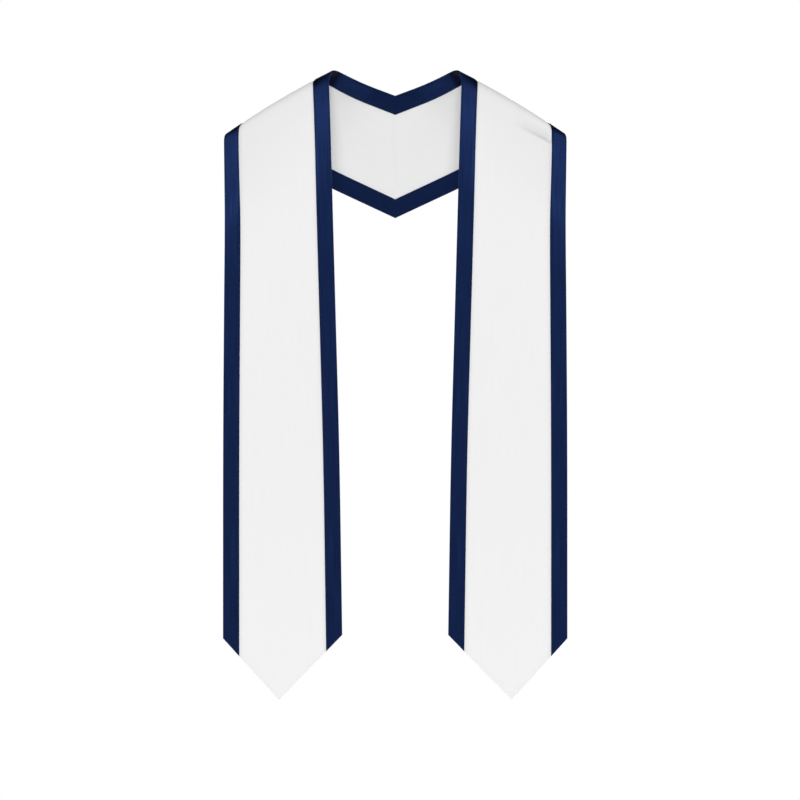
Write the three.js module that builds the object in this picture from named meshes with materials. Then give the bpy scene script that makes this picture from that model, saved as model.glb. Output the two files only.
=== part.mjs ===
// Graduation stole in the form that it takes when worn: two white satin halves, joined by a mitred seam
// at the centre back, with a navy satin binding wrapped round every long edge. Millimetres, +Z up, the
// wearer faces -Y, and the origin is midway between the two points where the stole sits beside the neck.
import * as THREE from 'three';

// Worn form
const shoulderHalfWidth = 200.5;
const shoulderWidth = 123.5;
const shoulderDrop = 73;
const shoulderCrown = 3;
const chestDepth = 98;
const backNeckDrop = 26.5;
const backNeckDepth = 66;
const backPointDrop = 170;
const backPointDepth = 100;

// Hem
const hemWidth = 139;
const hemDrop = 655;
const pointDepth = 73.5;
const tipShare = 0.535;

// Cloth: the panel is two satins with an interfacing between them, and its edge is one tongue that the
// binding holds between a face leg and a slightly deeper lining leg
const panelThickness = 2;
const tongueThickness = 1;
const bindingWall = 1;
const faceLeg = 19;
const liningLeg = 20.8;
const clearance = 0.3;

// Crease of the cloth: its depth, and how far it reaches above its line and below it
const creaseDepth = 2.4;
const creaseReach = 13;
const creaseLip = 4.5;

const neckHalfWidth = shoulderHalfWidth - shoulderWidth;
const hemFlare = hemWidth - shoulderWidth;
const backFall = backPointDrop - shoulderDrop;

// Stations on the back, from the seam towards the shoulder, for the neck edge and the outer edge. The
// columns out and back are shares of the half widths and the depths, and fall is a share of the drop
// from the shoulder fold to the seam. The crown is a share of the shoulder crown, by which the middle of
// the cloth stands out. The bend is the part of each neighbouring stretch that a corner's rounding takes,
// steps is the number of rows in that rounding, and rows the number in the straight stretch behind it.
const backStations = [
  { station: 'seam', neckOut: 0, neckBack: 1, neckFall: 1, outerOut: 0, outerBack: 1,
    outerFall: 1, crown: 0, bend: 0, steps: 0, rows: 1 },
  { station: 'blade', neckOut: 0.5, neckBack: 0.8, neckFall: 0.46, outerOut: 0.53, outerBack: 0.78,
    outerFall: 0.488, crown: 0.3, bend: 0.85, steps: 5, rows: 1 },
];

// Stations on the front, from the shoulder fold to the hem. The column fall is a share of the hem drop,
// slant is the share of the shoulder drop by which the outer edge lies lower than the neck edge, flare
// is the share of the hem flare, and ahead is a share of the chest depth.
const frontStations = [
  { station: 'fold', out: 1, fall: -0.012, slant: 0.935, flare: -0.08, neckAhead: 0, outerAhead: -0.05,
    crown: 1, bend: 0.7, steps: 7, rows: 2 },
  { station: 'collarbone', out: 0.995, fall: 0.08, slant: 0.93, flare: 0, neckAhead: 0.43, outerAhead: 0.27,
    crown: 0.7, bend: 0.8, steps: 4, rows: 1 },
  { station: 'chest', out: 0.991, fall: 0.22, slant: 0.45, flare: 0.13, neckAhead: 0.78, outerAhead: 0.62,
    crown: 0.3, bend: 0.9, steps: 4, rows: 1 },
  { station: 'ribs', out: 0.996, fall: 0.42, slant: 0.1, flare: 0.43, neckAhead: 0.95, outerAhead: 0.86,
    crown: 0, bend: 0.9, steps: 4, rows: 1 },
  { station: 'waist', out: 1.001, fall: 0.68, slant: 0, flare: 0.8, neckAhead: 1.01, outerAhead: 0.94,
    crown: 0, bend: 0.8, steps: 4, rows: 5 },
  { station: 'hem', out: 1.001, fall: 1, slant: 0.055, flare: 1, neckAhead: 1, outerAhead: 0.94,
    crown: 0, bend: 0, steps: 0, rows: 0 },
];
const stations = [...backStations, ...frontStations];

// Creases, each a dent along a line between two points of the front view, which are given as shares of
// the shoulder half width and the shoulder drop
const creases = [
  { side: 'left', fromOut: 0.7, fromFall: 0.78, toOut: 0.9, toFall: 1.06 },
];

// Columns of the panel from a binding line to the tip
const halfColumns = 5;

const sides = [
  { name: 'left', sign: 1 },
  { name: 'right', sign: -1 },
];

const whiteSatin = new THREE.MeshStandardMaterial({ color: 0xefefef, roughness: 0.5, metalness: 0 });
const navySatin = new THREE.MeshStandardMaterial({ color: 0x16254c, roughness: 0.4, metalness: 0 });

// Corners of the two long edges of one half, from the seam to the hem
function edgeCorners() {
  const neck = [];
  const outer = [];
  const seamGap = clearance / 2;
  for (const row of backStations) {
    neck.push(new THREE.Vector3(
      seamGap + row.neckOut * neckHalfWidth,
      row.neckBack * backNeckDepth,
      -row.neckFall * backNeckDrop,
    ));
    outer.push(new THREE.Vector3(
      seamGap + row.outerOut * shoulderHalfWidth,
      row.outerBack * backPointDepth,
      -shoulderDrop - row.outerFall * backFall,
    ));
  }
  for (const row of frontStations) {
    const out = row.out * shoulderHalfWidth;
    const fall = row.fall * hemDrop;
    const width = shoulderWidth + row.flare * hemFlare;
    neck.push(new THREE.Vector3(out - width, -row.neckAhead * chestDepth, -fall));
    outer.push(new THREE.Vector3(out, -row.outerAhead * chestDepth, -fall - row.slant * shoulderDrop));
  }
  return { neck, outer };
}

// The place of every row between the stations: 2.5 is half-way from the third station to the fourth
function rowPlaces() {
  const places = [0];
  const addUpTo = (place, count) => {
    const from = places.at(-1);
    for (let i = 1; i <= count; i += 1) {
      places.push(THREE.MathUtils.lerp(from, place, i / count));
    }
  };
  stations.forEach((station, i) => {
    const next = stations[i + 1];
    addUpTo(i + station.bend / 2, station.steps);
    if (next) {
      addUpTo(i + 1 - next.bend / 2, station.rows);
    }
  });
  return places;
}

// The point of an edge at a place between the stations, with each corner rounded over its bend
function edgePoint(corners, place) {
  const nearest = THREE.MathUtils.clamp(Math.round(place), 1, corners.length - 2);
  const corner = corners[nearest];
  const { bend } = stations[nearest];
  const turn = (place - nearest) / bend + 0.5;
  if (turn >= 0 && turn <= 1) {
    const start = corner.clone().lerp(corners[nearest - 1], bend / 2);
    const end = corner.clone().lerp(corners[nearest + 1], bend / 2);
    return new THREE.QuadraticBezierCurve3(start, corner, end).getPoint(turn);
  }
  const before = Math.min(Math.floor(place), corners.length - 2);
  return corners[before].clone().lerp(corners[before + 1], place - before);
}

function crownAt(place) {
  const before = Math.min(Math.floor(place), stations.length - 2);
  const share = THREE.MathUtils.lerp(stations[before].crown, stations[before + 1].crown, place - before);
  return share * shoulderCrown;
}

// Rows of the drape: the two edge points, the directions along the stole there, its width, its crown and
// how far the row has turned into the pointed hem, which starts behind the last rounding
function drapeRows() {
  const corners = edgeCorners();
  const places = rowPlaces();
  const last = places.length - 1;
  const hemStart = stations.length - 2 + stations.at(-2).bend / 2;
  const neck = places.map((place) => edgePoint(corners.neck, place));
  const outer = places.map((place) => edgePoint(corners.outer, place));
  return places.map((place, i) => {
    const before = Math.max(i - 1, 0);
    const after = Math.min(i + 1, last);
    const neckRun = neck[after].clone().sub(neck[before]).normalize();
    const outerRun = outer[after].clone().sub(outer[before]).normalize();
    const across = outer[i].clone().sub(neck[i]);
    const middleRun = neckRun.clone().add(outerRun).normalize();
    return {
      neckPoint: neck[i],
      outerPoint: outer[i],
      neckRun,
      outerRun,
      across,
      width: across.clone().cross(middleRun).length(),
      crown: crownAt(place),
      hemShare: Math.max(0, (place - hemStart) / (places[last] - hemStart)),
      atSeam: i === 0,
    };
  });
}

// How far the pointed hem reaches below its corners at a share of the width, with 1 at the tip
function hemPoint(share) {
  return share < tipShare ? share / tipShare : (1 - share) / (1 - tipShare);
}

// How far the cloth is pressed in at a point: gently above the line of a crease, steeply below it
function creaseDip(point, sideName) {
  let dip = 0;
  for (const crease of creases.filter((row) => row.side === sideName)) {
    const from = new THREE.Vector3(crease.fromOut * shoulderHalfWidth, 0, -crease.fromFall * shoulderDrop);
    const to = new THREE.Vector3(crease.toOut * shoulderHalfWidth, 0, -crease.toFall * shoulderDrop);
    const seen = new THREE.Vector3(point.x, 0, point.z);
    const nearest = new THREE.Line3(from, to).closestPointToPoint(seen, true, new THREE.Vector3());
    const reach = seen.z > nearest.z ? creaseReach : creaseLip;
    const away = Math.min(nearest.distanceTo(seen) / reach, 1);
    const isFront = point.y < 0;
    dip += isFront ? creaseDepth * (1 - away ** 2) ** 2 : 0;
  }
  return dip;
}

// A point of the cloth in one row, at a share of the width and an offset out of the cloth. Offsets of
// the seam row stay in the seam's plane, which mitres the two halves.
function clothPoint(row, share, offset) {
  const run = row.neckRun.clone().lerp(row.outerRun, share).normalize();
  const point = row.neckPoint.clone().lerp(row.outerPoint, share);
  const normal = run.clone().cross(row.across).normalize();
  if (row.atSeam) {
    normal.setX(0);
    normal.divideScalar(normal.lengthSq());
  }
  point.addScaledVector(run, pointDepth * hemPoint(share) * row.hemShare);
  const bulge = row.crown * 4 * share * (1 - share);
  return point.addScaledVector(normal, offset + bulge);
}

// A closed wall between two grids of points with equal rows and columns. Every quad is cut along the
// diagonal that runs outwards down the stole, so walls that lie over each other stay parallel.
function wallBetween(outside, inside, mirrored) {
  const rows = outside.length;
  const columns = outside[0].length;
  const half = rows * columns;
  const points = [...outside.flat(), ...inside.flat()];
  const index = [];
  const at = (row, column) => row * columns + column;
  const addTriangle = (a, b, c) => {
    index.push(...(mirrored ? [a, c, b] : [a, b, c]));
  };
  const addQuad = (a, b, c, d) => {
    addTriangle(a, b, c);
    addTriangle(a, c, d);
  };
  for (let row = 0; row < rows - 1; row += 1) {
    for (let column = 0; column < columns - 1; column += 1) {
      const [a, b] = [at(row, column), at(row + 1, column)];
      const [c, d] = [at(row + 1, column + 1), at(row, column + 1)];
      if (Math.abs(points[c].x) > Math.abs(points[b].x)) {
        addQuad(a, b, c, d);
        addQuad(half + c, half + b, half + a, half + d);
      } else {
        addQuad(b, c, d, a);
        addQuad(half + d, half + c, half + b, half + a);
      }
    }
  }
  for (let row = 0; row < rows - 1; row += 1) {
    const [a, b] = [at(row, 0), at(row + 1, 0)];
    const [c, d] = [at(row, columns - 1), at(row + 1, columns - 1)];
    addQuad(half + a, half + b, b, a);
    addQuad(c, d, half + d, half + c);
  }
  for (let column = 0; column < columns - 1; column += 1) {
    const [a, b] = [at(0, column), at(0, column + 1)];
    const [c, d] = [at(rows - 1, column), at(rows - 1, column + 1)];
    addQuad(a, b, half + b, half + a);
    addQuad(half + c, half + d, d, c);
  }
  const geometry = new THREE.BufferGeometry();
  const positions = points.flatMap((point) => point.toArray());
  geometry.setAttribute('position', new THREE.Float32BufferAttribute(positions, 3));
  geometry.setIndex(index);
  geometry.computeVertexNormals();
  return geometry;
}

function namedMesh(name, geometry, material) {
  const mesh = new THREE.Mesh(geometry, material);
  mesh.name = name;
  return mesh;
}

function mirrorTo(side, point) {
  return point.setX(side.sign * point.x);
}

// The white panel of one half: a thick middle with a thinner tongue under each binding
function panel(side, rows) {
  const thick = panelThickness / 2;
  const thin = tongueThickness / 2;
  const tongueEdge = bindingWall + clearance;
  const surface = (row, leg, direction) => {
    const stepFoot = leg + clearance;
    const stepTop = (stepFoot + thick - thin) / row.width;
    const middle = [];
    for (let column = -halfColumns; column <= halfColumns; column += 1) {
      const bindingLine = column < 0 ? stepTop : 1 - stepTop;
      const share = THREE.MathUtils.lerp(tipShare, bindingLine, Math.abs(column) / halfColumns);
      const dip = creaseDip(clothPoint(row, share, 0), side.name);
      middle.push(clothPoint(row, share, direction * thick - dip));
    }
    const edge = [tongueEdge, stepFoot].map((distance) => distance / row.width);
    return [
      ...edge.map((share) => clothPoint(row, share, direction * thin)),
      ...middle,
      ...edge.reverse().map((share) => clothPoint(row, 1 - share, direction * thin)),
    ].map((point) => mirrorTo(side, point));
  };
  const face = rows.map((row) => surface(row, faceLeg, 1));
  const lining = rows.map((row) => surface(row, liningLeg, -1));
  return namedMesh(`panel_${side.name}`, wallBetween(face, lining, side.sign < 0), whiteSatin);
}

// The binding of one long edge: a wall bent round the tongue, from the lining leg to the face leg
function binding(side, rows, edgeName) {
  const inner = tongueThickness / 2 + clearance;
  const outer = inner + bindingWall;
  const corner = bindingWall / 5;
  const outsideSection = [
    { in: liningLeg, offset: -outer },
    { in: bindingWall, offset: -outer },
    { in: 0, offset: -inner },
    { in: 0, offset: inner },
    { in: bindingWall, offset: outer },
    { in: faceLeg, offset: outer },
  ];
  const insideSection = [
    { in: liningLeg, offset: -inner },
    { in: bindingWall + corner, offset: -inner },
    { in: bindingWall, offset: corner - inner },
    { in: bindingWall, offset: inner - corner },
    { in: bindingWall + corner, offset: inner },
    { in: faceLeg, offset: inner },
  ];
  const atNeck = edgeName === 'neck';
  const swept = (section) => rows.map((row) => section.map((place) => {
    const share = place.in / row.width;
    return mirrorTo(side, clothPoint(row, atNeck ? share : 1 - share, place.offset));
  }));
  const flipped = atNeck ? side.sign < 0 : side.sign > 0;
  const geometry = wallBetween(swept(outsideSection), swept(insideSection), flipped);
  return namedMesh(`${edgeName}_trim_${side.name}`, geometry, navySatin);
}

const stole = new THREE.Group();
const rows = drapeRows();
for (const side of sides) {
  const half = new THREE.Group();
  half.add(panel(side, rows));
  half.add(binding(side, rows, 'neck'));
  half.add(binding(side, rows, 'outer'));
  stole.add(half);
}

export default stole;
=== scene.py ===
import math
from collections import namedtuple

import bmesh
import bpy
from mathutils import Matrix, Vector, noise


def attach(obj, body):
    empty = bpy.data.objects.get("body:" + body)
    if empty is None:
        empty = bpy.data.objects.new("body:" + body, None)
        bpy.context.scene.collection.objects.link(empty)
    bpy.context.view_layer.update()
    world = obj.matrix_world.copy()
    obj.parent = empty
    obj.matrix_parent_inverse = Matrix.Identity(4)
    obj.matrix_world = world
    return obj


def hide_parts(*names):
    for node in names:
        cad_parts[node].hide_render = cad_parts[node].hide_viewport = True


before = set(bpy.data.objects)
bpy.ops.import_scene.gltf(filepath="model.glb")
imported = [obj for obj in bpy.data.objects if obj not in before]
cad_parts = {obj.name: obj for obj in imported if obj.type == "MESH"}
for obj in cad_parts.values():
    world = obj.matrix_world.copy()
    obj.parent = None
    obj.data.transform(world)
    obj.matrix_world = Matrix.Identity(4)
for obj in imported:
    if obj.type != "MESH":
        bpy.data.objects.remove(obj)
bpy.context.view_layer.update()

# Worn form, in metres
SHOULDER_HALF_WIDTH = 0.2005
SHOULDER_WIDTH = 0.1235
SHOULDER_DROP = 0.073
SHOULDER_CROWN = 0.003
CHEST_DEPTH = 0.098
BACK_NECK_DROP = 0.0265
BACK_NECK_DEPTH = 0.066
BACK_POINT_DROP = 0.170
BACK_POINT_DEPTH = 0.100

# Hem
HEM_WIDTH = 0.139
HEM_DROP = 0.655
POINT_DEPTH = 0.0735
TIP_SHARE = 0.535

# Cloth: half thicknesses of the panel, its pressed edges and the binding round them; how far the legs of a
# binding reach in from the edge, where the panel starts inside it, how far its fold reaches, and the share
# of its wall at the lips
PANEL_HALF = 0.0010
PRESSED_HALF = 0.0005
BINDING_INSIDE = 0.0007
BINDING_OUTSIDE = 0.0015
FACE_LEG = 0.019
LINING_LEG = 0.0208
TONGUE_EDGE = 0.0013
FOLD_REACH = 0.0010
LIP_SHARE = 0.3

# Where the panel is pressed flat: metres beside the bindings, a share of the last stretch at the hem, and
# metres at the seam, which starts partly pressed
VALLEY = 0.005
HEM_PRESS = 0.06
SEAM_PRESS = 0.006
SEAM_START = 0.25

# Mesh spacing: metres along the stole, samples that place the rows, passes that ease their corners,
# columns on each side of the tip, and steps along a leg and round the fold of a binding
ROW_STEP = 0.002
PATH_SAMPLES = 1400
EASING_PASSES = 8
PANEL_HALF_COLUMNS = 30
LEG_STEPS = 8
FOLD_STEPS = 8

# Edges that turn by more than this many degrees are shaded sharp
SHARP_ANGLE = 50

# Studio: a white background, walls that light the stole, with gradients between two cosines of the angle
# to their direction, and softboxes. Each softbox has the direction it stands in, its strength, how many
# degrees it spreads over, and whether the satin mirrors it.
LOW_WALL = 0.2
FRONT_WALL = 0.5
HORIZON_GRADIENT = (-0.05, 0.06)
REAR_WALL = 1.1
WALL_GRADIENT = (0.0, 0.8)
CEILING = 0.06
CEILING_DIRECTION = (0, 0.5, 0.866)
CEILING_GRADIENT = (0.58, 0.84)
Softbox = namedtuple("Softbox", "name direction strength spread mirrored")
SOFTBOXES = [
    Softbox("key_left", (0.53, -0.436, 0.727), 0.32, 40, True),
    Softbox("key_right", (-0.53, -0.436, 0.727), 0.32, 40, True),
    Softbox("front_fill", (0, -0.9986, -0.052), 1.77, 14, False),
    Softbox("back_fill", (0, 0.99, -0.14), 1.0, 40, False),
    Softbox("top_fill", (0, 0, 1), 0.3, 90, False),
]

# Floor: as far below the shoulders as they stand above the ground
FLOOR_DROP = 1.45
FLOOR_RADIUS = 1.6
FLOOR_SIDES = 96
FLOOR_GREY = 0.93
FLOOR_ROUGHNESS = 0.8

# Camera: the photograph's front view through a long lens, a little below the shoulders. The scale is the
# one at the chest, and the origin of the part falls on the column and row of an 800 pixel picture.
CAMERA_DISTANCE = 30.0
CAMERA_HEIGHT = -0.09
METRES_PER_PIXEL = 0.001165
PHOTO_SIZE = 800
AXIS_COLUMN = 395.2
ORIGIN_ROW = 72.7

# Satins: edge_tint colours the gloss, lustre is the share of it that takes the cloth's own colour
Satin = namedtuple("Satin", "name colour streak roughness lustre sheen edge_tint")
WHITE_SATIN = Satin("white_satin", (0.82, 0.82, 0.82), 0.01, 0.5, 0.0, 0.1, (1, 1, 1))
NAVY_SATIN = Satin("navy_satin", (0.0105, 0.0245, 0.094), 0.25, 0.3, 0.6, 0.0, (0.1, 0.2, 0.5))
SATIN_GLOSS = 0.12
SHEEN_ROUGHNESS = 0.35

# Satin weave: floats a metre across the cloth, how little they change along it, the noise that runs from the
# first float to the last, how much they vary the roughness, and how strongly and how far they stand out;
# then the fine twill between them
FLOATS_PER_METRE = 800
FLOAT_STRETCH = 0.02
FLOAT_DETAIL = 3.0
FLOAT_RANGE = (0.3, 0.7)
FLOAT_ROUGHNESS = 0.05
FLOAT_RELIEF = 0.35
FLOAT_HEIGHT = 0.00012
TWILL_SCALE = 420
TWILL_DISTORTION = 1.5
TWILL_DETAIL = 1.0
TWILL_RELIEF = 0.12
TWILL_HEIGHT = 0.00008

# Sewing thread: its colour and gloss, and fibres that run between two shades of it and stand out a little
NAVY_THREAD = (0.006, 0.013, 0.05)
THREAD_ROUGHNESS = 0.55
THREAD_GLOSS = 0.25
FIBRES_PER_METRE = 2500
FIBRE_SHADES = (0.8, 1.25)
FIBRE_RELIEF = 0.3
FIBRE_HEIGHT = 0.00005

# Thread of the edge stitching
STITCH_LENGTH = 0.0024
STITCH_PITCH = 0.0031
STITCH_WIDTH = 0.00042
STITCH_INSET = 0.0016

NECK_HALF_WIDTH = SHOULDER_HALF_WIDTH - SHOULDER_WIDTH
HEM_FLARE = HEM_WIDTH - SHOULDER_WIDTH
BACK_FALL = BACK_POINT_DROP - SHOULDER_DROP

# Stations on the back, from the seam towards the shoulder: out and back are shares of the half widths
# and depths, fall is a share of the drop from the shoulder fold to the seam, crown a share of the
# shoulder crown, and the bends the part of each neighbouring stretch that a corner's rounding takes
BackStation = namedtuple(
    "BackStation",
    "name neck_out neck_back neck_fall outer_out outer_back outer_fall crown neck_bend outer_bend",
)
BACK_STATIONS = [
    BackStation("seam", 0, 1, 1, 0, 1, 1, 0, 0, 0),
    BackStation("blade", 0.5, 0.8, 0.46, 0.53, 0.78, 0.488, 0.3, 0.85, 0.85),
]

# Stations on the front, from the shoulder fold to the hem: fall is a share of the hem drop, slant the
# share of the shoulder drop by which the outer edge lies lower, flare a share of the hem flare, and
# ahead a share of the chest depth
FrontStation = namedtuple(
    "FrontStation", "name out fall slant flare neck_ahead outer_ahead crown neck_bend outer_bend"
)
FRONT_STATIONS = [
    FrontStation("fold", 1, -0.012, 1.0, -0.08, 0, -0.05, 1, 0.7, 0.42),
    FrontStation("collarbone", 0.995, 0.08, 0.93, 0, 0.43, 0.27, 0.7, 0.8, 0.8),
    FrontStation("chest", 0.991, 0.22, 0.45, 0.13, 0.78, 0.62, 0.3, 0.9, 0.9),
    FrontStation("ribs", 0.996, 0.42, 0.1, 0.43, 0.95, 0.86, 0, 0.9, 0.9),
    FrontStation("waist", 1.001, 0.68, 0, 0.8, 1.01, 0.94, 0, 0.8, 0.8),
    FrontStation("hem", 1.001, 1, 0.055, 1, 1, 0.94, 0, 0, 0),
]
STATIONS = BACK_STATIONS + FRONT_STATIONS

# The crease beside the binding at the wearer's left shoulder, as shares of the shoulder half width and
# drop, with its depth and how far it reaches above and below its line. Towards the edge of the cloth it
# fades over CREASE_FADE, and is gone at CREASE_MARGIN.
Crease = namedtuple("Crease", "side from_out from_fall to_out to_fall depth above below")
CREASES = [
    Crease("left", 0.66, 0.745, 0.90, 1.06, 0.0029, 0.014, 0.0062),
]
CREASE_MARGIN = 0.015
CREASE_FADE = 0.009

# Painted shade in the cloth's colour: grey in a crease and beside the bindings, and dark where the ribbon
# turns over the shoulder, with the reach of each in metres. The painted dark band at the turn starts behind
# the shoulder on the lining leg and slants forwards across the ribbon.
PAINTED_SHADE_GREY = 0.88
EDGE_PAINTED_SHADE = 0.75
EDGE_PAINTED_SHADE_REACH = 0.0045
TURN_PAINTED_SHADE = 0.2
TURN_BEHIND = 0.028
TURN_SLANT = 0.76
TURN_REACH = (0.008, 0.024)

# Soft waves of the hanging cloth: depth in metres, and waves a metre across and along. They grow from the
# seam to their full depth at WAVE_START, as do the puckers that line the bindings. The seeds keep the two
# edges and the two sides from being alike.
Wave = namedtuple("Wave", "depth across along seed")
WAVES = [
    Wave(0.0010, 5.0, 2.6, 3.1),
    Wave(0.0003, 16.0, 7.0, 11.7),
    Wave(0.00008, 60.0, 34.0, 23.9),
]
WAVE_START = 0.12
PUCKER_DEPTH = 0.00016
PUCKER_REACH = 0.009
PUCKERS_PER_METRE = 95
PUCKERS_ACROSS = 25
NECK_PUCKER_SEED = 1.7
OUTER_PUCKER_SEED = 5.9
SIDE_SEED = 7.3

SIDES = {"left": 1, "right": -1}
EDGES = ["neck", "outer"]

# A row across the cloth: its two ends and the way each edge runs there, the way across, the width square
# to the edges, the crown, the share of the last stretch before the hem, and the length from the seam
DrapeRow = namedtuple("DrapeRow", "neck outer neck_run outer_run across width crown hem length seam")


def edge_corners():
    """Corners of the neck edge and the outer edge of one half, from the seam to the hem."""
    neck = []
    outer = []
    for row in BACK_STATIONS:
        neck.append(Vector((
            row.neck_out * NECK_HALF_WIDTH,
            row.neck_back * BACK_NECK_DEPTH,
            -row.neck_fall * BACK_NECK_DROP,
        )))
        outer.append(Vector((
            row.outer_out * SHOULDER_HALF_WIDTH,
            row.outer_back * BACK_POINT_DEPTH,
            -SHOULDER_DROP - row.outer_fall * BACK_FALL,
        )))
    for row in FRONT_STATIONS:
        out = row.out * SHOULDER_HALF_WIDTH
        fall = row.fall * HEM_DROP
        width = SHOULDER_WIDTH + row.flare * HEM_FLARE
        neck.append(Vector((out - width, -row.neck_ahead * CHEST_DEPTH, -fall)))
        outer.append(Vector((out, -row.outer_ahead * CHEST_DEPTH, -fall - row.slant * SHOULDER_DROP)))
    return neck, outer


def rounded_edge(corners, bends, place):
    """The point of an edge at a place between the stations, with each corner rounded over its bend."""
    nearest = min(max(round(place), 1), len(corners) - 2)
    corner = corners[nearest]
    bend = bends[nearest]
    turn = (place - nearest) / bend + 0.5
    if 0 <= turn <= 1:
        start = corner.lerp(corners[nearest - 1], bend / 2)
        end = corner.lerp(corners[nearest + 1], bend / 2)
        return start.lerp(corner, turn).lerp(corner.lerp(end, turn), turn)
    before = min(int(place), len(corners) - 2)
    return corners[before].lerp(corners[before + 1], place - before)


def edge_curves():
    """The neck edge and the outer edge, each as a function from a place between the stations to its point."""
    neck_corners, outer_corners = edge_corners()
    neck_bends = [station.neck_bend for station in STATIONS]
    outer_bends = [station.outer_bend for station in STATIONS]

    def neck_at(place):
        return rounded_edge(neck_corners, neck_bends, place)

    def outer_at(place):
        return rounded_edge(outer_corners, outer_bends, place)

    return neck_at, outer_at


def even_places(neck_at, outer_at):
    """Places between the stations that are evenly spaced along the middle of the stole, and their spacing."""
    last = len(STATIONS) - 1
    samples = [last * i / PATH_SAMPLES for i in range(PATH_SAMPLES + 1)]
    middles = [neck_at(place).lerp(outer_at(place), 0.5) for place in samples]
    lengths = [0.0]
    for before, after in zip(middles, middles[1:]):
        lengths.append(lengths[-1] + (after - before).length)
    count = round(lengths[-1] / ROW_STEP)
    places = []
    sample = 0
    for row in range(count + 1):
        wanted = lengths[-1] * row / count
        while sample < len(lengths) - 2 and lengths[sample + 1] < wanted:
            sample += 1
        share = (wanted - lengths[sample]) / (lengths[sample + 1] - lengths[sample])
        places.append(samples[sample] + share * (samples[sample + 1] - samples[sample]))
    return places, lengths[-1] / count


def relaxed(points, passes):
    """The points with their corners eased, and both ends kept."""
    for _ in range(passes):
        eased = [(a + 2 * b + c) / 4 for a, b, c in zip(points, points[1:], points[2:])]
        points = [points[0]] + eased + [points[-1]]
    return points


def drape_rows():
    """Rows of the drape from the seam to the hem, each about ROW_STEP from the last."""
    neck_at, outer_at = edge_curves()
    places, step = even_places(neck_at, outer_at)
    neck = relaxed([neck_at(place) for place in places], EASING_PASSES)
    outer = relaxed([outer_at(place) for place in places], EASING_PASSES)
    last = len(places) - 1
    hem_start = len(STATIONS) - 2 + STATIONS[-2].neck_bend / 2
    rows = []
    for i, place in enumerate(places):
        before, after = max(i - 1, 0), min(i + 1, last)
        neck_run = (neck[after] - neck[before]).normalized()
        outer_run = (outer[after] - outer[before]).normalized()
        across = outer[i] - neck[i]
        width = across.cross((neck_run + outer_run).normalized()).length
        station = min(int(place), len(STATIONS) - 2)
        crowns = STATIONS[station].crown, STATIONS[station + 1].crown
        crown = SHOULDER_CROWN * (crowns[0] + (crowns[1] - crowns[0]) * (place - station))
        hem = max(0.0, (place - hem_start) / (len(STATIONS) - 1 - hem_start))
        rows.append(DrapeRow(
            neck[i], outer[i], neck_run, outer_run, across, width, crown, hem, i * step, i == 0
        ))
    return rows


def smooth_step(value):
    value = min(max(value, 0.0), 1.0)
    return value * value * (3 - 2 * value)


def hem_point(share):
    """How far the pointed hem reaches below its corners at a share of the width, with 1 at the tip."""
    return share / TIP_SHARE if share < TIP_SHARE else (1 - share) / (1 - TIP_SHARE)


def crease_depth(side, point):
    """How far the creases press the cloth in at a point: gently above their line, steeply below it."""
    depth = 0.0
    for crease in CREASES:
        start = Vector((crease.from_out * SHOULDER_HALF_WIDTH, -crease.from_fall * SHOULDER_DROP))
        line = Vector((crease.to_out * SHOULDER_HALF_WIDTH, -crease.to_fall * SHOULDER_DROP)) - start
        seen = Vector((abs(point.x), point.z)) - start
        along = seen.dot(line) / line.length_squared
        above = (line.x * seen.y - line.y * seen.x) / line.length
        reach = crease.above if above > 0 else crease.below
        if crease.side == side and point.y < 0 and along > 0 and abs(above) < reach:
            depth += crease.depth * smooth_step(along) * (1 - (above / reach) ** 2) ** 2
    return depth


def cloth_relief(side, share, row):
    """How far the soft waves and puckers push the cloth out at a place."""
    across = share * row.width
    seed = SIDE_SEED * SIDES[side]
    free = min(1.0, row.length / WAVE_START)
    relief = 0.0
    for wave in WAVES:
        where = Vector((across * wave.across, row.length * wave.along, wave.seed + seed))
        relief += free * wave.depth * noise.noise(where)
    from_neck = across - FACE_LEG
    from_outer = row.width - FACE_LEG - across
    for away, edge_seed in ((from_neck, NECK_PUCKER_SEED), (from_outer, OUTER_PUCKER_SEED)):
        where = Vector((away * PUCKERS_ACROSS, row.length * PUCKERS_PER_METRE, edge_seed + seed))
        ruffle = noise.noise(where)
        relief += free * PUCKER_DEPTH * ruffle * math.exp(-((away / PUCKER_REACH) ** 2))
    return relief


def cloth_point(side, row, share, offset):
    """A point of the cloth in one row, at a share of the width and an offset out of the cloth."""
    run = row.neck_run.lerp(row.outer_run, share).normalized()
    point = row.neck.lerp(row.outer, share)
    normal = run.cross(row.across).normalized()
    if row.seam:
        normal = Vector((0, normal.y, normal.z)) / (normal.y ** 2 + normal.z ** 2)
    bulge = row.crown * 4 * share * (1 - share) + cloth_relief(side, share, row)
    from_edge = min(share, 1 - share) * row.width
    free = smooth_step((from_edge - CREASE_MARGIN) / CREASE_FADE)
    point += run * (POINT_DEPTH * hem_point(share) * row.hem)
    point += normal * (offset + bulge - free * crease_depth(side, point))
    point.x *= SIDES[side]
    return point


def mapped_grid(bm, rows, columns, place_of):
    """A created grid whose vertices are moved to place_of(row, column); returns it as rows of vertices."""
    made = bmesh.ops.create_grid(bm, x_segments=columns - 1, y_segments=rows - 1, size=0.5)
    verts = sorted(made["verts"], key=lambda v: (round((v.co.y + 0.5) * (rows - 1)), v.co.x))
    grid = [verts[r * columns:(r + 1) * columns] for r in range(rows)]
    for r, line in enumerate(grid):
        for c, vert in enumerate(line):
            vert.co = place_of(r, c)
    return grid


def rim(grid):
    """The boundary edges of a grid of vertices."""
    loop = grid[0] + [line[-1] for line in grid[1:-1]] + grid[-1][::-1] + [line[0] for line in grid[-2:0:-1]]
    pairs = set()
    for a, b in zip(loop, loop[1:] + loop[:1]):
        shared = [edge for edge in a.link_edges if edge.other_vert(a) is b]
        pairs.update(shared)
    return list(pairs)


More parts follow.
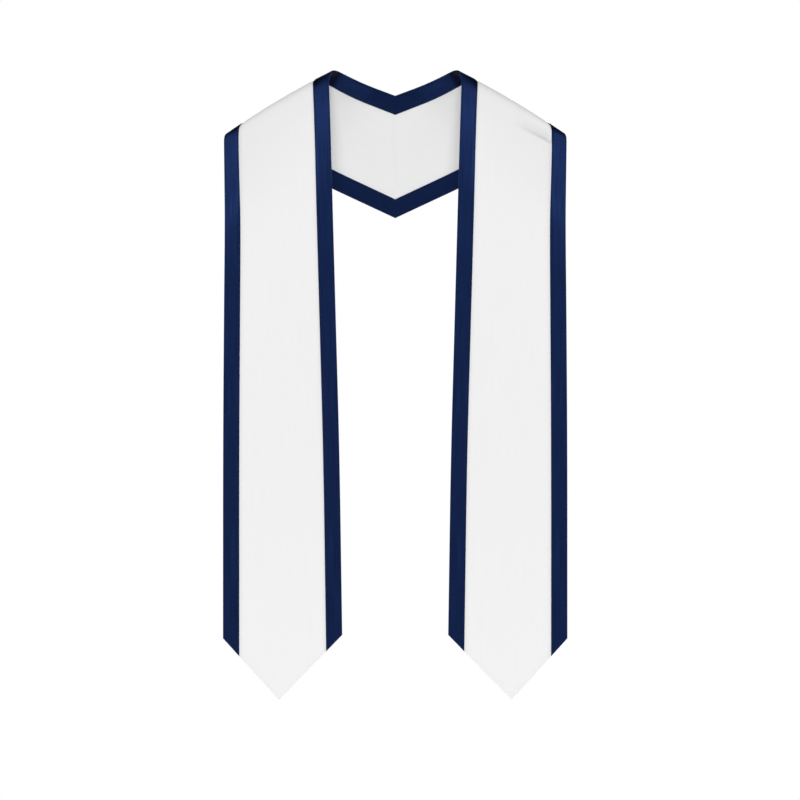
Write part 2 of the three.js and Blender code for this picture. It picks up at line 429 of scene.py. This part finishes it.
def walled_piece(name, rows, columns, outside_place, inside_place, uv_place, material):
    """A closed wall between two mapped grids, bridged round their rims, as a finished object."""
    bm = bmesh.new()
    outside = mapped_grid(bm, rows, columns, outside_place)
    inside = mapped_grid(bm, rows, columns, inside_place)
    bmesh.ops.bridge_loops(bm, edges=rim(outside) + rim(inside))
    uv_layer = bm.loops.layers.uv.new("cloth")
    places = {}
    for grid in (outside, inside):
        for r, line in enumerate(grid):
            for c, vert in enumerate(line):
                places[vert] = uv_place(r, c)
    for face in bm.faces:
        face.smooth = True
        for loop in face.loops:
            loop[uv_layer].uv = places[loop.vert]
    bmesh.ops.recalc_face_normals(bm, faces=bm.faces)
    return finished(name, bm, material)


def finished(name, bm, material):
    mesh = bpy.data.meshes.new(name)
    bm.to_mesh(mesh)
    bm.free()
    mesh.set_sharp_from_angle(angle=math.radians(SHARP_ANGLE))
    mesh.materials.append(material)
    piece = bpy.data.objects.new(name, mesh)
    bpy.context.scene.collection.objects.link(piece)
    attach(piece, "root")
    return piece


def make_panel(side, rows, material):
    """The white satin half: face and lining with pressed edges that run under both bindings."""
    half_count = PANEL_HALF_COLUMNS
    shares = [i / half_count for i in range(half_count + 1)]
    columns = 2 * half_count + 1

    def across_share(row, c):
        """Columns run from the tongue's edge to the tip's share and on to the other tongue's edge."""
        start = TONGUE_EDGE / row.width
        if c <= half_count:
            return start + (TIP_SHARE - start) * shares[c]
        return TIP_SHARE + (1 - start - TIP_SHARE) * shares[c - half_count]

    def half_thickness(row, share, leg):
        away = min(share, 1 - share) * row.width
        puffed = smooth_step((away - leg) / VALLEY)
        off_hem = smooth_step((1 - row.hem) / HEM_PRESS)
        off_seam = smooth_step(row.length / SEAM_PRESS + SEAM_START)
        return PRESSED_HALF + (PANEL_HALF - PRESSED_HALF) * puffed * off_hem * off_seam

    def face_place(r, c):
        share = across_share(rows[r], c)
        return cloth_point(side, rows[r], share, half_thickness(rows[r], share, FACE_LEG))

    def lining_place(r, c):
        share = across_share(rows[r], c)
        return cloth_point(side, rows[r], share, -half_thickness(rows[r], share, LINING_LEG))

    def uv_place(r, c):
        return (across_share(rows[r], c) * rows[r].width, rows[r].length)

    name = f"satin_panel_{side}"
    piece = walled_piece(
        name, len(rows), columns, face_place, lining_place, uv_place, material
    )
    mark_painted_shade(piece, side, rows)
    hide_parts(f"panel_{side}")
    return piece


def mark_painted_shade(piece, side, rows):
    """Marks on a panel where its colour gets painted shade: in the creases and beside the bindings."""
    step = rows[1].length - rows[0].length
    painted_shade = piece.data.attributes.new("painted_shade", "FLOAT", "POINT")
    cloth_map = piece.data.uv_layers["cloth"].data
    for loop in piece.data.loops:
        across, length = cloth_map[loop.index].uv
        row = rows[round(length / step)]
        # Painted shade: grey beside the bindings, and in the crease by its depth
        from_binding = min(across, row.width - across) - FACE_LEG
        beside = EDGE_PAINTED_SHADE * (1 - smooth_step(from_binding / EDGE_PAINTED_SHADE_REACH))
        crease = crease_depth(side, piece.data.vertices[loop.vertex_index].co) / CREASES[0].depth
        painted_shade.data[loop.vertex_index].value = max(beside, crease)


def binding_section():
    """Pairs of distance in from the edge and offset, outside and inside, from lining leg to face leg."""
    wall = BINDING_OUTSIDE - BINDING_INSIDE
    fold_inside = FOLD_REACH * BINDING_INSIDE / BINDING_OUTSIDE
    outside = []
    inside = []
    for i in range(LEG_STEPS):
        away = LINING_LEG + (FOLD_REACH - LINING_LEG) * i / LEG_STEPS
        lip = LIP_SHARE if i == 0 else 1.0
        outside.append((away, -BINDING_INSIDE - wall * lip))
        inside.append((away, -BINDING_INSIDE))
    for i in range(FOLD_STEPS + 1):
        out, up = math.sin(math.pi * i / FOLD_STEPS), -math.cos(math.pi * i / FOLD_STEPS)
        outside.append((FOLD_REACH * (1 - out), BINDING_OUTSIDE * up))
        inside.append((FOLD_REACH - fold_inside * out, BINDING_INSIDE * up))
    for i in range(1, LEG_STEPS + 1):
        away = FOLD_REACH + (FACE_LEG - FOLD_REACH) * i / LEG_STEPS
        lip = LIP_SHARE if i == LEG_STEPS else 1.0
        outside.append((away, BINDING_INSIDE + wall * lip))
        inside.append((away, BINDING_INSIDE))
    return outside, inside


def make_binding(side, edge, rows, material):
    """The navy satin binding wrapped round one long edge."""
    outside, inside = binding_section()
    lengths = [0.0]
    for before, after in zip(outside, outside[1:]):
        lengths.append(lengths[-1] + math.dist(before, after))

    def placed(row, place):
        share = place[0] / row.width
        return cloth_point(side, row, share if edge == "neck" else 1 - share, place[1])

    def outside_place(r, c):
        return placed(rows[r], outside[c])

    def inside_place(r, c):
        return placed(rows[r], inside[c])

    def uv_place(r, c):
        return (lengths[c], rows[r].length)

    name = f"satin_binding_{edge}_{side}"
    piece = walled_piece(
        name, len(rows), len(outside), outside_place, inside_place, uv_place, material
    )
    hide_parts(f"{edge}_trim_{side}")
    return piece


def edge_length(rows, edge):
    """The length of one long edge, from the seam to the hem."""
    points = [getattr(row, edge) for row in rows]
    return sum((after - before).length for before, after in zip(points, points[1:]))


def make_stitching(side, edge, rows, material):
    """One row of edge stitches on the face leg and one on the lining leg of a binding."""
    bm = bmesh.new()
    step = rows[1].length - rows[0].length
    total = rows[-1].length
    count = int((total - STITCH_PITCH) / STITCH_PITCH)
    for leg, direction in ((FACE_LEG, 1), (LINING_LEG, -1)):
        for i in range(1, count):
            length = i * STITCH_PITCH
            before = min(int(length / step), len(rows) - 2)
            ends = []
            for row in (rows[before], rows[before + 1]):
                share = (leg - STITCH_INSET) / row.width
                share = share if edge == "neck" else 1 - share
                ends.append(cloth_point(side, row, share, direction * BINDING_OUTSIDE))
            middle = ends[0].lerp(ends[1], length / step - before)
            turn = (ends[1] - ends[0]).to_track_quat("X", "Z").to_matrix().to_4x4()
            size = Vector((STITCH_LENGTH / 2, STITCH_WIDTH / 2, STITCH_WIDTH / 2))
            made = bmesh.ops.create_icosphere(bm, subdivisions=1, radius=1.0)
            bmesh.ops.scale(bm, vec=size, verts=made["verts"])
            bmesh.ops.transform(bm, matrix=turn, verts=made["verts"])
            bmesh.ops.translate(bm, vec=middle, verts=made["verts"])
    for face in bm.faces:
        face.smooth = True
    return finished(f"edge_stitching_{edge}_{side}", bm, material)


def satin(kind):
    """A satin weave on the cloth's own map: floats along the cloth that streak its tone, gloss and relief."""
    material = bpy.data.materials.new(kind.name)
    material.use_nodes = True
    nodes = material.node_tree.nodes
    links = material.node_tree.links
    shader = nodes["Principled BSDF"]
    shader.inputs["Metallic"].default_value = kind.lustre
    shader.inputs["Specular IOR Level"].default_value = SATIN_GLOSS
    shader.inputs["Specular Tint"].default_value = (*kind.edge_tint, 1)
    shader.inputs["Sheen Weight"].default_value = kind.sheen
    shader.inputs["Sheen Roughness"].default_value = SHEEN_ROUGHNESS

    cloth_map = nodes.new("ShaderNodeUVMap")
    cloth_map.uv_map = "cloth"
    lengthwise = nodes.new("ShaderNodeMapping")
    lengthwise.inputs["Scale"].default_value = (FLOATS_PER_METRE, FLOATS_PER_METRE * FLOAT_STRETCH, 1.0)
    links.new(cloth_map.outputs["UV"], lengthwise.inputs["Vector"])
    floats = nodes.new("ShaderNodeTexNoise")
    floats.inputs["Scale"].default_value = 1.0
    floats.inputs["Detail"].default_value = FLOAT_DETAIL
    links.new(lengthwise.outputs["Vector"], floats.inputs["Vector"])
    spread = nodes.new("ShaderNodeMapRange")
    spread.inputs["From Min"].default_value, spread.inputs["From Max"].default_value = FLOAT_RANGE
    links.new(floats.outputs["Fac"], spread.inputs["Value"])

    tone = nodes.new("ShaderNodeMix")
    tone.data_type = "RGBA"
    tone.inputs["A"].default_value = (*[c * (1 - kind.streak) for c in kind.colour], 1)
    tone.inputs["B"].default_value = (*[c * (1 + kind.streak) for c in kind.colour], 1)
    links.new(spread.outputs["Result"], tone.inputs["Factor"])
    links.new(tone.outputs["Result"], shader.inputs["Base Color"])

    gloss = nodes.new("ShaderNodeMapRange")
    gloss.inputs["To Min"].default_value = kind.roughness + FLOAT_ROUGHNESS
    gloss.inputs["To Max"].default_value = kind.roughness - FLOAT_ROUGHNESS
    links.new(spread.outputs["Result"], gloss.inputs["Value"])
    links.new(gloss.outputs["Result"], shader.inputs["Roughness"])

    float_relief = nodes.new("ShaderNodeBump")
    float_relief.inputs["Strength"].default_value = FLOAT_RELIEF
    float_relief.inputs["Distance"].default_value = FLOAT_HEIGHT
    links.new(floats.outputs["Fac"], float_relief.inputs["Height"])
    twill = nodes.new("ShaderNodeTexWave")
    twill.wave_type = "BANDS"
    twill.bands_direction = "DIAGONAL"
    twill.inputs["Scale"].default_value = TWILL_SCALE
    twill.inputs["Distortion"].default_value = TWILL_DISTORTION
    twill.inputs["Detail"].default_value = TWILL_DETAIL
    links.new(cloth_map.outputs["UV"], twill.inputs["Vector"])
    twill_relief = nodes.new("ShaderNodeBump")
    twill_relief.inputs["Strength"].default_value = TWILL_RELIEF
    twill_relief.inputs["Distance"].default_value = TWILL_HEIGHT
    links.new(twill.outputs["Fac"], twill_relief.inputs["Height"])
    links.new(float_relief.outputs["Normal"], twill_relief.inputs["Normal"])
    links.new(twill_relief.outputs["Normal"], shader.inputs["Normal"])
    return material


def shade_base(material, share, grey):
    """Paints shade into a satin's colour: multiplies it by a grey, by the share that a node gives."""
    nodes = material.node_tree.nodes
    links = material.node_tree.links
    base = nodes["Principled BSDF"].inputs["Base Color"]
    shade = nodes.new("ShaderNodeMix")
    shade.data_type = "RGBA"
    shade.blend_type = "MULTIPLY"
    shade.inputs["B"].default_value = (grey, grey, grey, 1)
    links.new(share, shade.inputs["Factor"])
    links.new(base.links[0].from_socket, shade.inputs["A"])
    links.new(shade.outputs["Result"], base)


def paint_crease_and_edge_shade(material):
    """Paints grey shade into a satin's colour in its creases and beside the bindings."""
    painted_shade = material.node_tree.nodes.new("ShaderNodeAttribute")
    painted_shade.attribute_name = "painted_shade"
    shade_base(material, painted_shade.outputs["Fac"], PAINTED_SHADE_GREY)


def paint_turn_shade(material, turn_length):
    """Paints dark shade into a ribbon's colour where it turns over the shoulder, at a length along the cloth.
    """
    nodes = material.node_tree.nodes
    links = material.node_tree.links
    cloth_map = nodes.new("ShaderNodeUVMap")
    cloth_map.uv_map = "cloth"
    along = nodes.new("ShaderNodeVectorMath")
    along.operation = "DOT_PRODUCT"
    along.inputs[1].default_value = (-TURN_SLANT, 1, 0)
    links.new(cloth_map.outputs["UV"], along.inputs[0])
    past = nodes.new("ShaderNodeMath")
    past.operation = "SUBTRACT"
    past.inputs[1].default_value = turn_length
    links.new(along.outputs["Value"], past.inputs[0])
    away = nodes.new("ShaderNodeMath")
    away.operation = "ABSOLUTE"
    links.new(past.outputs["Value"], away.inputs[0])
    share = gradient(nodes, links, away.outputs["Value"], TURN_REACH, 1.0, 0.0)
    shade_base(material, share, TURN_PAINTED_SHADE)


def thread(name, colour):
    """Twisted sewing thread, with its twist as a fine bump."""
    material = bpy.data.materials.new(name)
    material.use_nodes = True
    nodes = material.node_tree.nodes
    links = material.node_tree.links
    shader = nodes["Principled BSDF"]
    shader.inputs["Roughness"].default_value = THREAD_ROUGHNESS
    shader.inputs["Specular IOR Level"].default_value = THREAD_GLOSS
    place = nodes.new("ShaderNodeTexCoord")
    fibres = nodes.new("ShaderNodeTexNoise")
    fibres.inputs["Scale"].default_value = FIBRES_PER_METRE
    links.new(place.outputs["Object"], fibres.inputs["Vector"])
    tone = nodes.new("ShaderNodeMix")
    tone.data_type = "RGBA"
    tone.inputs["A"].default_value = (*[c * FIBRE_SHADES[0] for c in colour], 1)
    tone.inputs["B"].default_value = (*[c * FIBRE_SHADES[1] for c in colour], 1)
    links.new(fibres.outputs["Fac"], tone.inputs["Factor"])
    links.new(tone.outputs["Result"], shader.inputs["Base Color"])
    bump = nodes.new("ShaderNodeBump")
    bump.inputs["Strength"].default_value = FIBRE_RELIEF
    bump.inputs["Distance"].default_value = FIBRE_HEIGHT
    links.new(fibres.outputs["Fac"], bump.inputs["Height"])
    links.new(bump.outputs["Normal"], shader.inputs["Normal"])
    return material


def make_floor():
    """A plain pale floor."""
    bm = bmesh.new()
    bmesh.ops.create_circle(bm, cap_ends=True, segments=FLOOR_SIDES, radius=FLOOR_RADIUS)
    bmesh.ops.translate(bm, vec=(0, 0, -FLOOR_DROP), verts=bm.verts)
    mesh = bpy.data.meshes.new("floor")
    bm.to_mesh(mesh)
    bm.free()
    material = bpy.data.materials.new("pale_floor")
    material.use_nodes = True
    shader = material.node_tree.nodes["Principled BSDF"]
    shader.inputs["Base Color"].default_value = (FLOOR_GREY, FLOOR_GREY, FLOOR_GREY, 1)
    shader.inputs["Roughness"].default_value = FLOOR_ROUGHNESS
    mesh.materials.append(material)
    floor = bpy.data.objects.new("floor", mesh)
    bpy.context.scene.collection.objects.link(floor)


def gradient(nodes, links, value, ends, low, high):
    """A soft step from low to high while a value runs between two ends."""
    step = nodes.new("ShaderNodeMapRange")
    step.interpolation_type = "SMOOTHSTEP"
    step.inputs["From Min"].default_value, step.inputs["From Max"].default_value = ends
    step.inputs["To Min"].default_value = low
    step.inputs["To Max"].default_value = high
    links.new(value, step.inputs["Value"])
    return step.outputs["Result"]


def light_studio():
    """A white background, walls brighter behind the stole, a dark ceiling behind it, and softboxes."""
    world = bpy.data.worlds.new("studio")
    world.use_nodes = True
    nodes = world.node_tree.nodes
    links = world.node_tree.links
    direction = nodes.new("ShaderNodeTexCoord").outputs["Generated"]
    axes = nodes.new("ShaderNodeSeparateXYZ")
    links.new(direction, axes.inputs["Vector"])
    front = gradient(nodes, links, axes.outputs["Z"], HORIZON_GRADIENT, LOW_WALL, FRONT_WALL)
    walls = gradient(nodes, links, axes.outputs["Y"], WALL_GRADIENT, FRONT_WALL, REAR_WALL)
    links.new(front, walls.node.inputs["To Min"])
    upwards = nodes.new("ShaderNodeVectorMath")
    upwards.operation = "DOT_PRODUCT"
    upwards.inputs[1].default_value = CEILING_DIRECTION
    links.new(direction, upwards.inputs[0])
    ceiling = gradient(nodes, links, upwards.outputs["Value"], CEILING_GRADIENT, 1.0, CEILING)
    strength = nodes.new("ShaderNodeMath")
    strength.operation = "MULTIPLY"
    links.new(walls, strength.inputs[0])
    links.new(ceiling, strength.inputs[1])
    lit = nodes.new("ShaderNodeBackground")
    links.new(strength.outputs["Value"], lit.inputs["Strength"])
    seen = nodes["Background"]
    for background in (lit, seen):
        background.inputs["Color"].default_value = (1, 1, 1, 1)
    seen_share = nodes.new("ShaderNodeMixShader")
    links.new(nodes.new("ShaderNodeLightPath").outputs["Is Camera Ray"], seen_share.inputs["Fac"])
    links.new(lit.outputs["Background"], seen_share.inputs[1])
    links.new(seen.outputs["Background"], seen_share.inputs[2])
    links.new(seen_share.outputs["Shader"], nodes["World Output"].inputs["Surface"])
    bpy.context.scene.world = world
    bpy.context.scene.view_settings.view_transform = "Standard"

    for softbox in SOFTBOXES:
        data = bpy.data.lights.new(softbox.name, "SUN")
        data.energy = softbox.strength
        data.angle = math.radians(softbox.spread)
        light = bpy.data.objects.new(softbox.name, data)
        light.visible_glossy = softbox.mirrored
        light.rotation_euler = Vector(softbox.direction).to_track_quat("Z", "Y").to_euler()
        bpy.context.scene.collection.objects.link(light)


def make_camera():
    data = bpy.data.cameras.new("camera")
    data.sensor_width = 36.0
    data.lens = data.sensor_width * (CAMERA_DISTANCE - CHEST_DEPTH) / (METRES_PER_PIXEL * PHOTO_SIZE)
    data.clip_end = 3 * CAMERA_DISTANCE
    camera = bpy.data.objects.new("camera", data)
    middle_x = (PHOTO_SIZE / 2 - AXIS_COLUMN) * METRES_PER_PIXEL
    middle_z = (ORIGIN_ROW - PHOTO_SIZE / 2) * METRES_PER_PIXEL
    camera.location = (middle_x, -CAMERA_DISTANCE, CAMERA_HEIGHT)
    aim = Vector((middle_x, -CHEST_DEPTH, middle_z)) - camera.location
    camera.rotation_euler = aim.to_track_quat("-Z", "Y").to_euler()
    bpy.context.scene.collection.objects.link(camera)
    bpy.context.scene.camera = camera


rows = drape_rows()
white_satin = satin(WHITE_SATIN)
# Painted shade: greys the white satin's colour in its crease and beside the bindings
paint_crease_and_edge_shade(white_satin)
navy_satin = satin(NAVY_SATIN)
shoulder_top = max(rows, key=lambda row: row.neck.z + row.outer.z)
# Painted shade: darkens the navy satin's colour where the ribbon turns over the shoulder
paint_turn_shade(navy_satin, shoulder_top.length - TURN_BEHIND)
navy_thread = thread("navy_thread", NAVY_THREAD)

for side in SIDES:
    satin_panel = make_panel(side, rows, white_satin)
    for edge in EDGES:
        ribbon = make_binding(side, edge, rows, navy_satin)
        stitches = make_stitching(side, edge, rows, navy_thread)
        edge_length(rows, edge)

make_floor()
light_studio()
make_camera()
